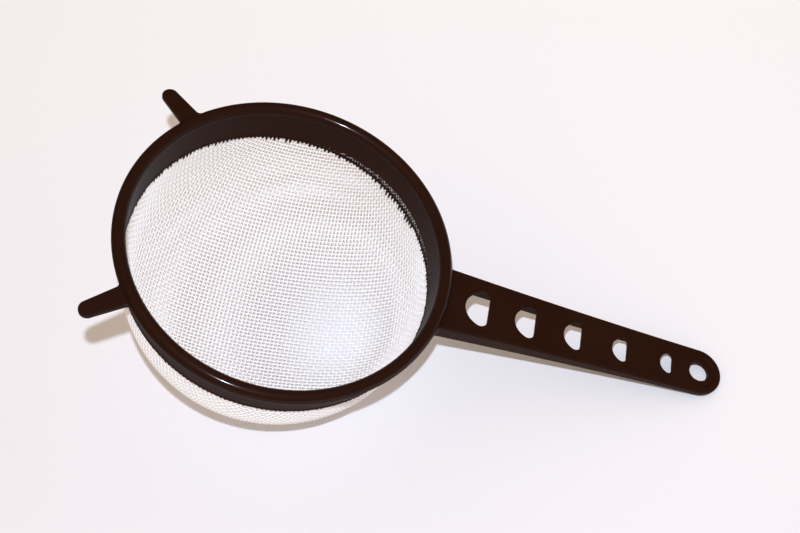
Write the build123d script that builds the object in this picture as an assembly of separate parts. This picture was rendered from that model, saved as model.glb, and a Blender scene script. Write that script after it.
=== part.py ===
from build123d import *
from math import cos, sin, pi, radians, degrees
import os

# Hand-held flour sifter: a moulded hoop with a beaded rim, a slotted handle, two rest lugs
# opposite it, and a deep bowl of woven mesh whose edge is moulded into the hoop's wall.
# Each piece is drawn with the rim level and its centre at the origin, +X towards the handle.
# The last step tips the whole sifter the way it lies on a table, on its bowl and handle tip.

# ---- driving dimensions, in millimetres and degrees ----
# hoop
rim_radius = 80.0            # to the outside of the bead
bead_section_radius = 3.2    # the bead is round in section
wall_drop = 19.6             # from the bead's centre plane to the wall's lower edge
wall_inset = 5.9             # of the wall's inside from the outside of the bead
wall_draft = 0.2             # the wall's inside closes in by this much at its lower edge
wall_top_thickness = 2.2     # under the bead
wall_edge_thickness = 1.2    # at the lower edge
bead_root_fillet = 0.8       # between the bead and the outside of the wall

# mesh bowl
bowl_depth = 82.0            # from the bead's centre plane to the bowl's underside
bowl_roundness = 2.65        # exponent of the bowl's outline: 2 is an ellipse, more is squarer
mesh_thickness = 0.7
mesh_embed = 6.0             # how far the mesh's edge runs up inside the wall

# handle
handle_length = 142.3        # from the outside of the bead to the handle's tip
handle_root_half_width = 17.2
handle_mid_half_width = 13.95
handle_mid_place = 60.0      # where the middle width is measured, from the bead
handle_tip_radius = 11.9
handle_top_drop = 4.0        # of the handle's top face below the bead's centre plane, at the rim
handle_rise = 2.2            # degrees that the handle climbs towards its tip
handle_plate = 2.4
rail_width = 5.6             # of the solid rail round the hollow underside of the handle
rail_root_depth = 8.9        # of the handle at the rim
rail_tip_depth = 2.6         # and at its tip
handle_edge_fillet = 1.1
handle_root_fillet = 2.5     # in plan, where the handle meets the rim
border_width = 3.0           # raised border round the handle's top face
border_height = 0.8
border_slope = 0.6              # foot of the border's inner side, cut at 45 degrees
border_gap = 2.4             # from the bead to the recess inside the border
border_corner_radius = 2.0

# openings in the handle
slot_count = 5
slot_first = 21.6            # straight side of the first slot, from the outside of the bead
slot_last_gap = 14.0         # straight side of the last slot to the hanging hole's centre
slot_length = 11.9           # of the first slot, along the handle
slot_length_step = 1.35      # each slot is shorter than the one before by this much
slot_half_width = 10.1       # of the first slot, across the handle
slot_half_width_step = 1.0
slot_corner_radius = 3.4      # of the first slot
slot_corner_radius_step = 0.3
hang_hole_radius = 5.0
hang_hole_inset = 11.5       # from the handle's tip to the hole's centre
hang_boss_wall = 3.2

# rest lugs
lug_length = 20.3            # from the outside of the bead to a lug's tip
lug_angle = 39.3             # degrees from the line opposite the handle
lug_root_half_width = 5.5
lug_tip_radius = 3.9
lug_top = 1.4                # height of a lug's top face over the bead's centre plane, at the rim
lug_fall = 5.0               # degrees that a lug drops towards its tip
lug_thickness = 2.4
lug_edge_fillet = 0.7
lug_root_fillet = 2.0

# ---- values worked out from them ----
bead_centre = rim_radius - bead_section_radius
wall_inner_radius = rim_radius - wall_inset
wall_edge_inner = wall_inner_radius - wall_draft
mesh_outer_radius = wall_edge_inner + (wall_edge_thickness + mesh_thickness) / 2
bowl_drop = bowl_depth - wall_drop
handle_reach = rim_radius + handle_length
handle_mid_reach = rim_radius + handle_mid_place
handle_tip_centre = handle_reach - handle_tip_radius
hang_hole_reach = handle_reach - hang_hole_inset
slot_start = rim_radius + slot_first
slot_pitch = (hang_hole_reach - slot_last_gap - slot_start) / (slot_count - 1)
lug_reach = rim_radius + lug_length


def ring_solid(profile):
    """Turn a section once round the hoop's axis, with its seam well away from handle and lugs."""
    return Rot(0, 0, 90) * revolve(Plane.XZ * profile, Axis.Z, 360)


def hoop_section():
    """Section of the bead and the wall under it, with a fillet outside between the two."""
    wall = make_face(Polyline(
        (wall_inner_radius, 0),
        (wall_inner_radius + wall_top_thickness, 0),
        (wall_edge_inner + wall_edge_thickness, -wall_drop),
        (wall_edge_inner, -wall_drop),
        close=True,
    ))
    bead = Pos(bead_centre, 0) * Circle(bead_section_radius)
    section = bead + wall
    corner = section.vertices().filter_by(
        lambda v: v.X > wall_inner_radius + wall_top_thickness / 2 and -wall_drop + 1 < v.Y < -1)
    return fillet(corner, bead_root_fillet)


def filled_hoop():
    """The hoop's outside as a solid plug, which trims what is joined to it."""
    wall = Pos(0, 0, -wall_drop / 2) * Cone(
        wall_edge_inner + wall_edge_thickness, wall_inner_radius + wall_top_thickness, wall_drop)
    return wall + Cylinder(bead_centre, 2 * bead_section_radius) + Torus(bead_centre, bead_section_radius)


def bowl_outline(radius, depth):
    """Points of the bowl's outline, from the wall's lower edge to the bottom of the bowl."""
    points = []
    steps = 14
    for i in range(steps + 1):
        turn = pi / 2 * i / steps
        r = radius * cos(turn) ** (2 / bowl_roundness) if i < steps else 0
        z = wall_drop + depth * sin(turn) ** (2 / bowl_roundness)
        points.append((r, -z))
    return points


def mesh_section():
    """Section of the woven bowl with the straight band that the wall is moulded round."""
    band_top = mesh_embed - wall_drop
    inner_radius = mesh_outer_radius - mesh_thickness
    outer = Spline(*bowl_outline(mesh_outer_radius, bowl_drop), tangents=[(0, -1), (-1, 0)])
    inner = Spline(*bowl_outline(inner_radius, bowl_drop - mesh_thickness),
                   tangents=[(0, -1), (-1, 0)])
    edge = Polyline((inner_radius, -wall_drop), (inner_radius, band_top),
                    (mesh_outer_radius, band_top), (mesh_outer_radius, -wall_drop))
    axis_side = Line(inner @ 1, outer @ 1)
    return make_face([outer, inner, *edge.edges(), axis_side])


def half_width_line(side):
    """One long edge of the handle, a slightly hollow arc."""
    return ThreePointArc(
        (wall_edge_inner, side * handle_root_half_width),
        (handle_mid_reach, side * handle_mid_half_width),
        (handle_tip_centre, side * handle_tip_radius),
    )


def handle_outline():
    """Plan of the handle together with the rim's disc, with fillets between the two."""
    upper = half_width_line(1)
    lower = half_width_line(-1)
    tip = ThreePointArc((handle_tip_centre, handle_tip_radius), (handle_reach, 0),
                        (handle_tip_centre, -handle_tip_radius))
    root = Line(lower @ 0, upper @ 0)
    return make_face([upper, tip, lower, root])


def with_rim(outline, fillet_radius):
    """Join a plan to the rim's disc and fillet the two corners that this makes."""
    joined = outline + Circle(rim_radius)
    corners = joined.vertices().filter_by(
        lambda v: abs((v.X ** 2 + v.Y ** 2) ** 0.5 - rim_radius) < 0.01)
    return fillet(corners, fillet_radius)


def off_the_rim(body, outline, plan):
    """Drop the rim's disc from a body, but for the root that reaches in under the bead."""
    own_plan = (plan - Circle(rim_radius)) + outline
    return body & extrude(own_plan, rim_radius, both=True)


def slot_face(index):
    """A slot: a half ellipse with its straight side towards the handle's tip."""
    length = slot_length - index * slot_length_step
    half_width = slot_half_width - index * slot_half_width_step
    half = Ellipse(length, half_width) & Pos(-length / 2, 0) * Rectangle(length, 2 * half_width)
    corners = half.vertices().filter_by(lambda v: abs(v.X) < 0.01)
    corner_radius = slot_corner_radius - index * slot_corner_radius_step
    return Pos(slot_start + index * slot_pitch, 0) * fillet(corners, corner_radius)


def build_handle(hoop_tool):
    """The handle: a plate with deep side rails, a raised border, slots and a hanging hole."""
    outline = handle_outline()
    plan = with_rim(outline, handle_root_fillet)
    body = extrude(plan, -2 * rail_root_depth)
    top_rim = body.faces().sort_by(Axis.Z)[-1].edges()
    body = fillet(top_rim, handle_edge_fillet)

    cavity_plan = offset(plan, -rail_width, kind=Kind.INTERSECTION)
    cavity = Pos(0, 0, -handle_plate) * extrude(cavity_plan, -2 * rail_root_depth)
    boss = Pos(hang_hole_reach, 0) * Cylinder(
        hang_hole_radius + hang_boss_wall, 2 * rail_tip_depth,
        align=(Align.CENTER, Align.CENTER, Align.MAX))
    body = body - (cavity - boss)

    rail_slope = (rail_root_depth - rail_tip_depth) / (handle_reach - rim_radius)
    below = make_face(Polyline(
        (0, -rail_root_depth - rail_slope * rim_radius),
        (handle_reach, -rail_tip_depth),
        (handle_reach + 10, -rail_tip_depth),
        (handle_reach + 10, -3 * rail_root_depth),
        (0, -3 * rail_root_depth),
        close=True,
    ))
    body -= extrude(Plane.XZ * below, 2 * rim_radius, both=True)

    recess_plan = offset(plan, -border_width, kind=Kind.INTERSECTION) - Circle(rim_radius + border_gap)
    recess_plan = fillet(recess_plan.vertices().sort_by(Axis.X)[:2], border_corner_radius)
    recess = extrude(recess_plan, -border_height)
    body -= chamfer(recess.faces().sort_by(Axis.Z)[0].edges(), border_slope)

    for index in range(slot_count):
        body -= extrude(slot_face(index), -2 * handle_plate)
    body -= Pos(hang_hole_reach, 0) * Cylinder(hang_hole_radius, 4 * rail_root_depth)

    body = off_the_rim(body, outline, plan)
    root = Pos(rim_radius, 0, -handle_top_drop)
    return root * Rot(0, -handle_rise, 0) * Pos(-rim_radius, 0, 0) * body - hoop_tool


def build_lug(side, hoop_tool):
    """A rest lug, on the side of the hoop away from the handle."""
    tip_centre = lug_reach - lug_tip_radius
    upper = Line((wall_edge_inner, lug_root_half_width), (tip_centre, lug_tip_radius))
    tip = ThreePointArc((tip_centre, lug_tip_radius), (lug_reach, 0), (tip_centre, -lug_tip_radius))
    lower = Line((tip_centre, -lug_tip_radius), (wall_edge_inner, -lug_root_half_width))
    root = Line(lower @ 1, upper @ 0)
    outline = make_face([upper, tip, lower, root])
    plan = with_rim(outline, lug_root_fillet)
    body = extrude(plan, -lug_thickness)
    top_rim = body.faces().sort_by(Axis.Z)[-1].edges()
    body = fillet(top_rim, lug_edge_fillet)
    body = off_the_rim(body, outline, plan)
    root = Pos(rim_radius, 0, lug_top)
    body = root * Rot(0, lug_fall, 0) * Pos(-rim_radius, 0, 0) * body - hoop_tool
    return Rot(0, 0, 180 + side * lug_angle) * body


def height_over_table(x, z, tip):
    """Height of a point of the section through the handle, with the sifter tipped by tip."""
    return z * cos(tip) - x * sin(tip)


def resting_tip():
    """Angle at which the bowl's underside and the handle's tip touch the table together."""
    rise = radians(handle_rise)
    reach = handle_reach - rim_radius
    tip_x = rim_radius + reach * cos(rise) + rail_tip_depth * sin(rise)
    tip_z = reach * sin(rise) - handle_top_drop - rail_tip_depth * cos(rise)
    low, high = 0.0, radians(60)
    for _ in range(50):
        middle = (low + high) / 2
        bowl_low = min(
            height_over_table(side * r, z, middle)
            for r, z in bowl_underside
            for side in (-1, 1))
        if height_over_table(tip_x, tip_z, middle) > bowl_low:
            low = middle
        else:
            high = middle
    return degrees((low + high) / 2)


mesh_bowl = ring_solid(mesh_section())
hoop_tool = filled_hoop()
hoop = ring_solid(hoop_section()) - mesh_bowl
handle = build_handle(hoop_tool)
lug_left = build_lug(-1, hoop_tool)
lug_right = build_lug(1, hoop_tool)

underside = Spline(*bowl_outline(mesh_outer_radius, bowl_drop), tangents=[(0, -1), (-1, 0)])
bowl_underside = [((underside @ (i / 400)).X, (underside @ (i / 400)).Y) for i in range(401)]
resting_angle = resting_tip()

pieces = {
    "hoop": hoop,
    "mesh_bowl": mesh_bowl,
    "handle": handle,
    "rest_lug_left": lug_left,
    "rest_lug_right": lug_right,
}
os.makedirs("parts", exist_ok=True)
tipped = {name: Rot(0, resting_angle, 0) * piece for name, piece in pieces.items()}
box = Compound(children=[Compound(label=n, obj=p.wrapped) for n, p in tipped.items()]).bounding_box()
to_origin = Pos(-(box.min.X + box.max.X) / 2, 0, -box.min.Z)
for name, piece in tipped.items():
    export_step(to_origin * piece, f"parts/{name}.step")

print("resting angle", round(resting_angle, 3))
print("rim centre", to_origin.position)
print("size", box.size)
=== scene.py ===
from math import atan2, cos, hypot, pi, radians, sin
from random import Random

import bmesh
import bpy
from mathutils import Matrix, Vector


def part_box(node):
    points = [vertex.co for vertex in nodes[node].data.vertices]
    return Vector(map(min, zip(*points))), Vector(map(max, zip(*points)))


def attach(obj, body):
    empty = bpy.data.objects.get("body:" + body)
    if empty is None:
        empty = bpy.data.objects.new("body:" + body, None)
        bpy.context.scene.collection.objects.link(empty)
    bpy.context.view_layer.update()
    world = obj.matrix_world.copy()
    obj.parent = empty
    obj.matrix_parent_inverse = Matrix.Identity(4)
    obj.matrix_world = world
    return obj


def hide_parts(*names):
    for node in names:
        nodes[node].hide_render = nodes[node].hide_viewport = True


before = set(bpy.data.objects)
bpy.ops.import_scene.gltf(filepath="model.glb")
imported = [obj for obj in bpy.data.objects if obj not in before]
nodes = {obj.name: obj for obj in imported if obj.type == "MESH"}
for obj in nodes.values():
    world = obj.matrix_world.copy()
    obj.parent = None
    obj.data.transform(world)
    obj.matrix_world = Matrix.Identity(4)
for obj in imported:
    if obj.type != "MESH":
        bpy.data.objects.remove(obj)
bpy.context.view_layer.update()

mm = 0.001

# ---- driving dimensions, the same as the solid model's ----
rest_tip = radians(22.704)              # how far the rim is tipped towards the handle
bead_section_radius = 3.2 * mm
bead_centre = 76.8 * mm                 # radius of the bead's centre line
wall_drop = 19.6 * mm
wall_edge_inner = 73.9 * mm
wall_edge_outer = 75.1 * mm
bowl_radius = 74.22 * mm                # both to the middle of the weave
bowl_drop = 61.72 * mm
bowl_roundness = 2.65

# weave
thread_diameter = 0.68 * mm
thread_pitch = 2.07 * mm
weave_turn = radians(6.4)               # of the weft from the handle's line
weave_skew = radians(3.4)               # of the warp from square to the weft
steps_per_thread = 4                    # along a thread, from one crossing to the next
thread_tail = 1.5 * mm                  # length of a thread's end inside the wall
threads_per_piece = 36

# moulded edge
tooth_count = 225                       # about one between each two threads
tooth_reach = 5.2 * mm                  # of the longest, inside the bowl
tooth_height = 0.34 * mm                 # over the wall, where a tooth climbs the threads

# table and room
table_radius = 0.6

# the hoop's own frame: rim level, centre at the origin, +X towards the handle
hoop_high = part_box("hoop")[1]
rim_centre = Vector((
    hoop_high[0] - bead_centre * cos(rest_tip) - bead_section_radius,
    0,
    hoop_high[2] - bead_centre * sin(rest_tip) - bead_section_radius,
))
tipped = Matrix.Translation(rim_centre) @ Matrix.Rotation(rest_tip, 4, "Y")


# ---- node materials ----
class Wire:
    """A shader socket on which sums and products add Math nodes."""

    def __init__(self, graph, socket):
        self.graph = graph
        self.socket = socket

    def math(self, operation, first, second):
        return self.graph.node("ShaderNodeMath", {"operation": operation}, {0: first, 1: second})["Value"]

    def __add__(self, other):
        return self.math("ADD", self, other)

    def __radd__(self, other):
        return self.math("ADD", other, self)

    def __sub__(self, other):
        return self.math("SUBTRACT", self, other)

    def __rsub__(self, other):
        return self.math("SUBTRACT", other, self)

    def __mul__(self, other):
        return self.math("MULTIPLY", self, other)

    def __rmul__(self, other):
        return self.math("MULTIPLY", other, self)


class Graph:
    """A node tree that is filled by one method."""

    def __init__(self, tree):
        self.tree = tree
        self.tree.nodes.clear()

    def node(self, kind, settings=None, inputs=None):
        made = self.tree.nodes.new(kind)
        for name, value in (settings or {}).items():
            if name == "stops":
                ramp = made.color_ramp
                while len(ramp.elements) < len(value):
                    ramp.elements.new(0.5)
                for element, (place, colour) in zip(ramp.elements, value):
                    element.position = place
                    element.color = (*colour, 1)
            else:
                setattr(made, name, value)
        for name, value in (inputs or {}).items():
            if isinstance(value, Wire):
                self.tree.links.new(value.socket, made.inputs[name])
            else:
                made.inputs[name].default_value = value
        return {out.name: Wire(self, out) for out in made.outputs if out.enabled}

    def noise(self, place, scale, detail):
        return self.node("ShaderNodeTexNoise", {}, {"Vector": place, "Scale": scale, "Detail": detail})["Fac"]

    def ramp(self, factor, stops):
        return self.node("ShaderNodeValToRGB", {"stops": stops}, {"Fac": factor})["Color"]

    def surface(self, **inputs):
        named = {name.replace("_", " "): value for name, value in inputs.items()}
        shader = self.node("ShaderNodeBsdfPrincipled", {}, named)["BSDF"]
        self.node("ShaderNodeOutputMaterial", {}, {"Surface": shader})


def new_finish(name):
    material = bpy.data.materials.new(name)
    material.use_nodes = True
    return material, Graph(material.node_tree)


def object_place(graph):
    return graph.node("ShaderNodeTexCoord")["Object"]


def moulding(name, wall_is_satin):
    """Dark brown moulded plastic: glossy with a faint flow pattern, duller on the hoop's wall."""
    material, graph = new_finish(name)
    place = object_place(graph)
    flow = graph.noise(place, 22, 3)
    grain = graph.noise(place, 700, 3)
    colour = graph.ramp(flow, [(0.3, (0.0185, 0.0056, 0.0022)), (0.7, (0.0225, 0.0069, 0.0028))])
    gloss = 0.2
    if wall_is_satin:
        level = tipped.inverted()
        from_rim = graph.node("ShaderNodeMapping", {}, {
            "Vector": place, "Location": level.translation, "Rotation": level.to_euler()})["Vector"]
        height = graph.node("ShaderNodeSeparateXYZ", {}, {"Vector": from_rim})["Z"]
        gloss = graph.node("ShaderNodeMapRange", {}, {
            "Value": height, "From Min": 0.6 * mm, "From Max": 2.0 * mm})["Result"]
    bump = graph.node("ShaderNodeBump", {}, {"Height": grain, "Strength": 0.05, "Distance": 0.0002})
    graph.surface(Base_Color=colour, Roughness=0.42 + 0.12 * grain, IOR=1.46, Specular_IOR_Level=0.05,
                  Coat_Weight=gloss * (0.25 + 0.15 * flow), Coat_Roughness=0.12, Normal=bump["Normal"])
    return material


def white_thread():
    """Drawn nylon thread: white, a little shiny, with faint changes of tone along it."""
    material, graph = new_finish("white_thread")
    place = object_place(graph)
    tone = graph.noise(place, 160, 3)
    colour = graph.ramp(tone, [(0.3, (0.955, 0.95, 0.945)), (0.7, (0.985, 0.98, 0.975))])
    graph.surface(Base_Color=colour, Roughness=0.32 + 0.12 * tone, IOR=1.5)
    return material


def table_top():
    material, graph = new_finish("table_top")
    place = object_place(graph)
    tone = graph.noise(place, 3, 2)
    # painted shade: the table's colour runs from a darker grey towards -Y to a lighter, bluer white towards
    # +Y, standing in for uneven light over the table; the large noise adds a faint random tone
    across = graph.node("ShaderNodeSeparateXYZ", {}, {"Vector": place})["Y"]
    share = graph.node("ShaderNodeMapRange", {}, {
        "Value": across, "From Min": -0.1, "From Max": 0.3})["Result"]
    colour = graph.ramp(share + 0.1 * tone, [(0.05, (0.765, 0.755, 0.77)), (1.05, (0.88, 0.89, 0.905))])
    graph.surface(Base_Color=colour, Roughness=0.6, Specular_IOR_Level=0.2)
    return material


# ---- the bowl's shape ----
def bowl_meridian(steps):
    """The weave's middle line from the bowl's bottom to the wall: radius, height and flat radius.

    The flat radius is how far out the same thread lay before the flat cloth was pressed into a
    bowl, with each patch of cloth keeping its area.
    """
    line = []
    area = 0.0
    for i in range(steps + 1):
        turn = pi / 2 * (1 - i / steps)
        r = bowl_radius * abs(cos(turn)) ** (2 / bowl_roundness)
        z = -wall_drop - bowl_drop * sin(turn) ** (2 / bowl_roundness)
        if i == 0:
            r = 0.0
        else:
            last_r, last_z, _ = line[-1]
            area += (r + last_r) / 2 * hypot(r - last_r, z - last_z)
        line.append((r, z, (2 * area) ** 0.5))
    return line


meridian = bowl_meridian(1200)
flat_edge = meridian[-1][2]


def on_meridian(flat):
    """Radius, height and outward normal (in the meridian's plane) at a flat radius."""
    if flat >= flat_edge:
        return bowl_radius, -wall_drop + flat - flat_edge, (1.0, 0.0)
    low, high = 0, len(meridian) - 1
    while high - low > 1:
        middle = (low + high) // 2
        if meridian[middle][2] > flat:
            high = middle
        else:
            low = middle
    r0, z0, f0 = meridian[low]
    r1, z1, f1 = meridian[high]
    share = (flat - f0) / (f1 - f0)
    run = hypot(r1 - r0, z1 - z0)
    return r0 + (r1 - r0) * share, z0 + (z1 - z0) * share, ((z1 - z0) / run, -(r1 - r0) / run)


def on_bowl(along_weft, along_warp, lift):
    """A point of the pressed cloth from its place in the flat cloth, lifted outwards."""
    u = along_weft + along_warp * sin(weave_skew)
    v = along_warp * cos(weave_skew)
    flat = hypot(u, v)
    around = atan2(v, u) + weave_turn
    lift *= min(1, max(0, (flat_edge - flat) / thread_pitch))
    r, z, (out, up) = on_meridian(flat)
    r += out * lift
    z += up * lift
    return tipped @ Vector((r * cos(around), r * sin(around), z))


# ---- pieces ----
def finish_piece(piece, material, slot, *replaced):
    if material is not None:
        piece.data.materials.clear()
        piece.data.materials.append(material)
    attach(piece, "root")
    if replaced:
        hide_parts(*replaced)
    return piece


def thread_line(index, across):
    """Points of one thread, over one crossing thread and under the next."""
    offset = index * thread_pitch
    reach = ((flat_edge + thread_tail) ** 2 - offset ** 2) ** 0.5
    step_length = thread_pitch / steps_per_thread
    steps = int(reach / step_length)
    points = []
    for step in range(-steps, steps + 1):
        along = step * step_length
        lift = thread_diameter / 2 * cos(pi * along / thread_pitch) * (-1) ** index
        if across:
            points.append(on_bowl(along, offset, -lift))
        else:
            points.append(on_bowl(offset, along, lift))
    return points


def weave_piece(name, indices, across, material):
    curve = bpy.data.curves.new(name, "CURVE")
    curve.dimensions = "3D"
    curve.bevel_depth = thread_diameter / 2
    curve.bevel_resolution = 1
    curve.use_fill_caps = True
    for index in indices:
        points = thread_line(index, across)
        spline = curve.splines.new("POLY")
        spline.points.add(len(points) - 1)
        for target, point in zip(spline.points, points):
            target.co = (*point, 1)
    piece = bpy.data.objects.new(name, curve)
    bpy.context.scene.collection.objects.link(piece)
    return finish_piece(piece, material, "mesh", "mesh_bowl")


def weave(material):
    reach = int((flat_edge + thread_tail) / thread_pitch) - 1
    every = list(range(-reach, reach + 1))
    for name, across in (("warp", False), ("weft", True)):
        for number, first in enumerate(range(0, len(every), threads_per_piece)):
            weave_piece(f"{name}_{number + 1}", every[first:first + threads_per_piece], across, material)


def moulded_edge(material):
    """The wall's lower edge, where plastic ran out along the threads in short teeth."""
    draw = Random(11)
    shape = bmesh.new()
    rows = []
    long_run = [sum(sin(k * 2 * pi * i / tooth_count + draw.random() * 0.2 + k) for k in (3, 7, 16)) / 6 + 0.5
                for i in range(tooth_count)]
    for radius, height, longest in (
            (wall_edge_outer, -wall_drop + 1.5 * mm, 0),
            (wall_edge_outer + tooth_height, -wall_drop, 0.3 * tooth_reach),
            (wall_edge_inner - tooth_height, -wall_drop, tooth_reach),
            (wall_edge_inner, -wall_drop + 1.5 * mm, 0)):
        made = bmesh.ops.create_circle(shape, segments=4 * tooth_count, radius=radius)["verts"]
        for i, vert in enumerate(made):
            if i % 4 == 0:
                reach = longest * (0.3 + 0.7 * long_run[i // 4]) * draw.random() ** 0.8
            vert.co.z = height - (reach if i % 4 < 2 else 0)
        rows.append(made)
    for upper, lower in zip(rows, rows[1:] + rows[:1]):
        for i in range(len(upper)):
            j = (i + 1) % len(upper)
            shape.faces.new((upper[i], upper[j], lower[j], lower[i]))
    bmesh.ops.recalc_face_normals(shape, faces=shape.faces)
    shape.transform(tipped)
    data = bpy.data.meshes.new("moulded_edge")
    shape.to_mesh(data)
    shape.free()
    piece = bpy.data.objects.new("moulded_edge", data)
    bpy.context.scene.collection.objects.link(piece)
    return finish_piece(piece, material, "moulding")


def dress_node(name, material):
    node = nodes[name]
    if not node.data.materials:
        node.data.materials.append(material)
    for index in range(len(node.data.materials)):
        node.material_slots[index].material = material


# ---- table, light and camera ----
def table(material):
    shape = bmesh.new()
    bmesh.ops.create_circle(shape, cap_ends=True, segments=96, radius=table_radius)
    data = bpy.data.meshes.new("table")
    shape.to_mesh(data)
    shape.free()
    piece = bpy.data.objects.new("table", data)
    piece.data.materials.append(material)
    bpy.context.scene.collection.objects.link(piece)


def front_lamp():
    """A small bluish lamp beside the camera, kept even over the table by its constant falloff."""
    data = bpy.data.lights.new("front_lamp", "POINT")
    data.color = (0.75, 0.835, 1.0)
    data.energy = 1.0
    data.shadow_soft_size = 0.006
    data.use_nodes = True
    graph = Graph(data.node_tree)
    even = graph.node("ShaderNodeLightFalloff", {}, {"Strength": 33.0})["Constant"]
    shine = graph.node("ShaderNodeEmission", {}, {"Strength": even})
    graph.node("ShaderNodeOutputLight", {}, {"Surface": shine["Emission"]})
    made = bpy.data.objects.new("front_lamp", data)
    made.location = tipped @ Vector((-46.6 * mm, -239.1 * mm, 474.6 * mm))
    bpy.context.scene.collection.objects.link(made)


def room():
    """Warm even light from all round, a dim room in reflections and a pale sheet behind."""
    world = bpy.data.worlds.new("room")
    world.use_nodes = True
    bpy.context.scene.world = world
    graph = Graph(world.node_tree)
    path = graph.node("ShaderNodeLightPath")
    soft = graph.node("ShaderNodeBackground", {}, {"Color": (0.66, 0.53, 0.42, 1)})["Background"]
    dim = graph.node("ShaderNodeBackground", {}, {"Color": (0.05, 0.035, 0.028, 1)})["Background"]
    pale = graph.node("ShaderNodeBackground", {}, {"Color": (0.92, 0.90, 0.92, 1)})["Background"]
    lit = graph.node("ShaderNodeMixShader", {}, {0: path["Is Glossy Ray"], 1: soft, 2: dim})["Shader"]
    seen = graph.node("ShaderNodeMixShader", {}, {0: path["Is Camera Ray"], 1: lit, 2: pale})["Shader"]
    graph.node("ShaderNodeOutputWorld", {}, {"Surface": seen})


def camera():
    """The camera's turn and place are given from the hoop's frame."""
    turn = (Matrix.Rotation(radians(17.466), 3, "Z")
            @ Matrix.Rotation(radians(-8.272), 3, "Y")
            @ Matrix.Rotation(radians(147.493), 3, "X"))
    to_hoop = turn.transposed()
    hoop_in_view = Vector((-51.862, -10.759, 509.456)) * mm
    placed = (to_hoop @ Matrix.Diagonal((1, -1, -1))).to_4x4()
    placed.translation = to_hoop @ -hoop_in_view
    data = bpy.data.cameras.new("camera")
    data.lens = 49.3
    data.sensor_width = 36
    data.clip_start = 0.01
    made = bpy.data.objects.new("camera", data)
    made.matrix_world = tipped @ placed
    bpy.context.scene.collection.objects.link(made)
    bpy.context.scene.camera = made


camera()
hoop_plastic = moulding("hoop_plastic", True)
handle_plastic = moulding("handle_plastic", False)
dress_node("hoop", hoop_plastic)
for node_name in ("handle", "rest_lug_left", "rest_lug_right"):
    dress_node(node_name, handle_plastic)
weave(white_thread())
moulded_edge(hoop_plastic)
table(table_top())
front_lamp()
room()
bpy.context.scene.view_settings.view_transform = "Standard"
